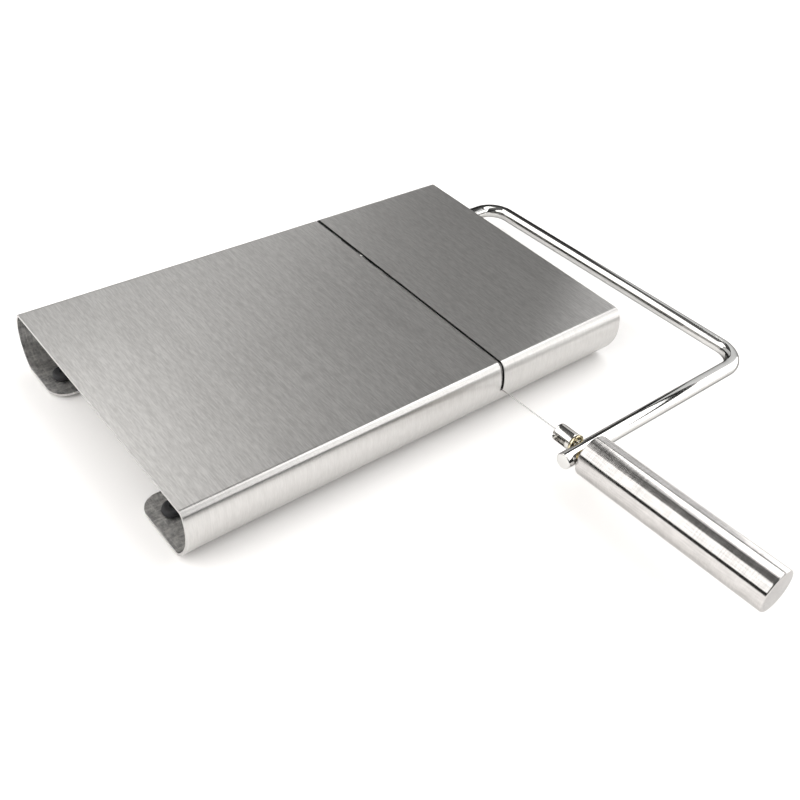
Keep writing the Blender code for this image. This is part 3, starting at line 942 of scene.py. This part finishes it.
def build_bolt(look):
    start, stop = reach_of("tension_bolt")
    maker = lathe(bolt_head_profile(start), 72, ALONG_WIRE)
    bolt = finish_mesh("tension_bolt_head", maker, [look], BOW_PLACE, "bolt",
                       ["tension_bolt"])
    pocket_start = start + HEAD_SHOULDER
    pocket_stop = reach_of("wire_ferrule_front")[1] + BOLT_TRAVEL + GAP
    room = radius_of("wire_ferrule_front") + GAP
    beside = WIRE_X - BOLT_HEAD_RADIUS - CUT_MARGIN
    slot_half = HEAD_SLOT / 2
    slot = block((beside, -pocket_start - CUT_MARGIN, -slot_half),
                 (WIRE_X + slot_half, -start + CUT_MARGIN, slot_half))
    pocket = block((beside, -pocket_stop, -room), (WIRE_X + room, -pocket_start, room))
    subtract(bolt, slot, pocket)
    soften(bolt, FINE_SOFTNESS)
    build_thread(look, start + BOLT_HEAD_LENGTH + THREAD_START, stop)


def build_thread(look, start, stop):
    """Threaded shank, chamfered at its far end."""
    steps = int((stop - start) / THREAD_STEP)
    profile = [(0, start)]
    for i in range(steps + 1):
        height = start + (stop - start) * i / steps
        radius = min(BOLT_RADIUS, BOLT_RADIUS - THREAD_CHAMFER + (stop - height))
        profile.append((radius, height))
    profile.append((0, stop))
    maker = lathe(profile, 56, ALONG_WIRE, shape=thread)
    finish_mesh("tension_bolt_thread", maker, [look], BOW_PLACE, "bolt",
                ["tension_bolt"])


def build_bolt_washer(look):
    start, stop = reach_of("tension_washer")
    corners = ring_corners(BOLT_RADIUS + GAP, radius_of("tension_washer"), start, stop, 0.0002)
    maker = lathe(fillet(corners, closed=True), 72, ALONG_WIRE, closed=True)
    finish_mesh("tension_washer_brass", maker, [look], BOW_PLACE, "bow",
                ["tension_washer"])


def build_grip(look):
    start, stop = reach_of("handle_grip")
    radius = radius_of("handle_grip")
    bore = radius - HANDLE_WALL
    profile = fillet([
        (0, stop, 0), (radius, stop, 0.00055), (radius, start, 0.0005), (bore, start, 0.0002),
        (bore, stop - HANDLE_END, 0.0006), (0, stop - HANDLE_END, 0),
    ])
    maker = lathe(profile, 128, ALONG_WIRE)
    grip = finish_mesh("handle_grip_turned", maker, [look], BOW_PLACE, "handle",
                       ["handle_grip"])
    keep_flats(grip)


def build_insert(look):
    low, high = reach_of("handle_insert")
    corners = ring_corners(BOLT_RADIUS + GAP, radius_of("handle_insert"), low, high, 0.0003)
    maker = lathe(fillet(corners, closed=True), 72, ALONG_WIRE, closed=True)
    finish_mesh("handle_insert_brass", maker, [look], BOW_PLACE, "handle",
                ["handle_insert"])


# ---------------------------------------------------------------- stage

CAMERA_LENS = 43.8
CAMERA_PLACE = Vector((-0.1953, -0.2423, 0.2499))
CAMERA_YAW, CAMERA_PITCH, CAMERA_ROLL = (math.radians(a) for a in (44.41, -40.63, 7.84))
FLOOR_RADIUS, DOME_RADIUS, DOME_GLOW = 2.5, 5.0, 0.98
SKIRT_FROM, SKIRT_TO = math.radians(146), math.radians(420)
SKIRT_RADIUS, SKIRT_HEIGHT = 0.42, 0.12
CARD_FACE, CARD_BACK = 0.284, 0.286
CARD_NEAR, CARD_FAR, CARD_TOP = -0.10, 0.08, 0.2
BAR_NEAR, BAR_TOP = -0.45, 0.245
WARM, NEUTRAL, WHITE = (1.0, 0.99, 0.975), (1.0, 0.995, 0.985), (1.0, 1.0, 1.0)


def build_camera():
    """The photograph's viewpoint, measured from the middle of the board."""
    data = bpy.data.cameras.new("camera")
    data.lens = CAMERA_LENS
    data.sensor_width = 36
    data.clip_start = 0.01
    camera = bpy.data.objects.new("camera", data)
    bpy.context.scene.collection.objects.link(camera)
    yaw, pitch, roll = CAMERA_YAW, CAMERA_PITCH, CAMERA_ROLL
    ahead = Vector((math.sin(yaw) * math.cos(pitch), math.cos(yaw) * math.cos(pitch), math.sin(pitch)))
    side = Vector((math.cos(yaw), -math.sin(yaw), 0))
    up = side.cross(ahead)
    right = math.cos(roll) * side + math.sin(roll) * up
    above = -math.sin(roll) * side + math.cos(roll) * up
    turn = Matrix((right, above, -ahead)).transposed().to_4x4()
    camera.matrix_world = Matrix.Translation(BOARD_CENTRE + CAMERA_PLACE) @ turn
    bpy.context.scene.camera = camera


def glow_look(name, strength):
    look = bpy.data.materials.new(name)
    look.use_nodes = True
    nodes = look.node_tree.nodes
    nodes.remove(nodes["Principled BSDF"])
    glow = nodes.new("ShaderNodeEmission")
    glow.inputs["Color"].default_value = (1, 1, 1, 1)
    glow.inputs["Strength"].default_value = strength
    link(look, glow.outputs["Emission"], nodes["Material Output"].inputs["Surface"])
    return look


def build_floor():
    """Pale floor, and a white dome that lights it evenly but isn't reflected."""
    maker = bmesh.new()
    bmesh.ops.create_circle(maker, cap_ends=True, segments=96, radius=FLOOR_RADIUS)
    look = new_look("floor_look", (0.93, 0.915, 0.90), 0.7, metallic=0.0)
    shader_of(look).inputs["Specular IOR Level"].default_value = 0.15
    floor = finish_mesh("floor", maker, [look], Matrix())
    maker = bmesh.new()
    bmesh.ops.create_uvsphere(maker, u_segments=48, v_segments=24, radius=DOME_RADIUS)
    backdrop = finish_mesh("backdrop", maker, [glow_look("backdrop_look", DOME_GLOW)], Matrix())
    for way in ("visible_glossy", "visible_shadow", "visible_transmission"):
        setattr(backdrop, way, False)


def soft_box(name, place, aim, size, radiance, color):
    """Flat rectangular light at place, measured from the board's centre, facing along aim."""
    width, height = size
    data = bpy.data.lights.new(name, "AREA")
    data.shape = "RECTANGLE"
    data.size = width
    data.size_y = height
    data.energy = radiance * width * height * math.pi
    data.color = color
    lamp = bpy.data.objects.new(name, data)
    bpy.context.scene.collection.objects.link(lamp)
    lamp.location = BOARD_CENTRE + place
    lamp.rotation_mode = "QUATERNION"
    lamp.rotation_quaternion = aim.to_track_quat("-Z", "Y")
    lamp.visible_camera = False
    return lamp


def facing_board(name, azimuth, elevation, distance, **light):
    """Soft box that looks at the board's centre; azimuth turns from +Y towards +X."""
    place = from_angles(azimuth, elevation, distance)
    return soft_box(name, place, -place, **light)


def from_angles(azimuth, elevation, distance):
    """Point seen from the board's centre; azimuth turns from +Y towards +X."""
    turn, rise = math.radians(azimuth), math.radians(elevation)
    flat = distance * math.cos(rise)
    return Vector((flat * math.sin(turn), flat * math.cos(turn), distance * math.sin(rise)))


def reflected_shape(name, maker, glow):
    """A shape that only shows in reflections."""
    made = finish_mesh(name, maker, [glow_look(name + "_look", glow)], BOARD_PLACE)
    for way in ("visible_camera", "visible_diffuse", "visible_shadow", "visible_transmission"):
        setattr(made, way, False)
    return made


def build_reflections():
    """Low dark band round the set, open on the right, with a dark bar over a grey card there."""
    skirt = reflected_shape("dark_skirt", skirt_band(), 0.02)
    upper = block((CARD_FACE, BAR_NEAR, CARD_TOP), (CARD_BACK, CARD_FAR, BAR_TOP))
    bar = reflected_shape("dark_bar", upper, 0.03)
    lower = block((CARD_FACE, CARD_NEAR, 0.0), (CARD_BACK, CARD_FAR, CARD_TOP))
    card = reflected_shape("grey_card", lower, 0.85)


def skirt_band():
    """A bmesh of an upright open band round the board's centre."""
    maker = bmesh.new()
    steps = 60
    low, high = [], []
    for i in range(steps + 1):
        turn = SKIRT_FROM + (SKIRT_TO - SKIRT_FROM) * i / steps
        x, y = SKIRT_RADIUS * math.sin(turn), SKIRT_RADIUS * math.cos(turn)
        low.append(maker.verts.new((x, y, -0.001)))
        high.append(maker.verts.new((x, y, SKIRT_HEIGHT)))
    for i in range(steps):
        maker.faces.new((low[i], low[i + 1], high[i + 1], high[i]))
    return maker


def build_world():
    """Dim studio walls, lighter toward the ceiling; only reflections see past the dome to them."""
    world = bpy.data.worlds.new("studio")
    bpy.context.scene.world = world
    world.use_nodes = True
    nodes = world.node_tree.nodes
    links = world.node_tree.links
    coordinates = nodes.new("ShaderNodeTexCoord")
    split = nodes.new("ShaderNodeSeparateXYZ")
    ramp = nodes.new("ShaderNodeValToRGB")
    links.new(coordinates.outputs["Generated"], split.inputs["Vector"])
    links.new(split.outputs["Z"], ramp.inputs["Fac"])
    stops = ramp.color_ramp.elements
    stops[0].position = 0.0
    stops[0].color = (0.035, 0.035, 0.035, 1)
    stops[1].position = 1.0
    stops[1].color = (0.17, 0.168, 0.165, 1)
    middle_stop = stops.new(0.6)
    middle_stop.color = (0.05, 0.05, 0.05, 1)
    links.new(ramp.outputs["Color"], nodes["Background"].inputs["Color"])
    nodes["Background"].inputs["Strength"].default_value = 1.0


def build_lights():
    """Soft boxes all round; only the left one and the floor fill light anything diffusely."""
    facing_board("left_soft_box", -69, 38, 1.3, size=(2.26, 1.16), radiance=1.65, color=WARM)
    reflected = [
        facing_board("upper_soft_box", -8, 52, 1.3, size=(0.6, 0.46), radiance=2.1, color=WARM),
        facing_board("back_soft_box", 5, 24, 1.3, size=(1.7, 0.6), radiance=0.6, color=NEUTRAL),
        soft_box("right_soft_box", Vector((0.29, -0.42, 0.355)), aim=Vector((-1.0, 0.0, -0.12)),
                 size=(1.0, 0.8), radiance=2.3, color=NEUTRAL),
        soft_box("high_right_soft_box", Vector((0.26, 0.01, 0.6)), aim=Vector((-1.0, 0.0, -0.8)),
                 size=(0.26, 0.4), radiance=1.25, color=NEUTRAL),
    ]
    for lamp in reflected:
        lamp.visible_diffuse = False
    fill = facing_board("floor_fill", 95, 55, 1.5, size=(1.4, 1.4), radiance=1.3, color=WHITE)
    fill.visible_glossy = False


def build_stage():
    build_camera()
    build_floor()
    build_world()
    build_reflections()
    build_lights()
    bpy.context.scene.view_settings.view_transform = "Standard"


def main():
    # Near-black steel on the slot's cut walls is painted shade, standing in for the dark slot.
    slot_painted_shade = plain_steel_look("slot_painted_shade_look", (0.07, 0.07, 0.07), 0.5)
    top = brushed_look("brushed_top_look", (0.56, 0.55, 0.538), (0.70, 0.69, 0.675))
    wall = brushed_look("brushed_wall_look", (0.575, 0.565, 0.552), (0.63, 0.62, 0.607))
    build_board([top, mill_sheet_look(), slot_painted_shade, wall])
    build_feet(moulded_look("foot_rubber_look", (0.012, 0.012, 0.013), (0.03, 0.03, 0.032), 0.62, 0.3))
    bracket = plain_steel_look("bracket_look", (0.56, 0.555, 0.55), 0.36)
    bush = moulded_look("bush_look", (0.66, 0.64, 0.59), (0.8, 0.78, 0.73), 0.42, 0.12)
    washer = polished_look("washer_look", (0.62, 0.615, 0.61), 0.22)
    spring = plain_steel_look("ring_look", (0.3, 0.3, 0.31), 0.3)
    for suffix, side in (("outer", 1), ("inner", -1)):
        build_bracket(suffix, side, bracket)
        build_bush(suffix, side, bush)
        build_thrust_washer(suffix, washer)
        build_snap_ring(suffix, spring)
    build_rod(polished_look("rod_look", (0.74, 0.735, 0.72), 0.07))
    build_wire(polished_look("wire_look", (0.7, 0.69, 0.68), 0.16))
    ferrule = polished_look("ferrule_look", (0.66, 0.65, 0.64), 0.24)
    build_ferrule("rear", ferrule)
    build_ferrule("front", ferrule)
    build_bolt(polished_look("bolt_look", (0.76, 0.745, 0.715), 0.09, (2600, 60, 1)))
    build_bolt_washer(polished_look("brass_look", (0.87, 0.78, 0.55), 0.13))
    build_grip(satin_handle_look())
    build_insert(polished_look("insert_look", (0.8, 0.64, 0.36), 0.2))
    build_stage()


main()
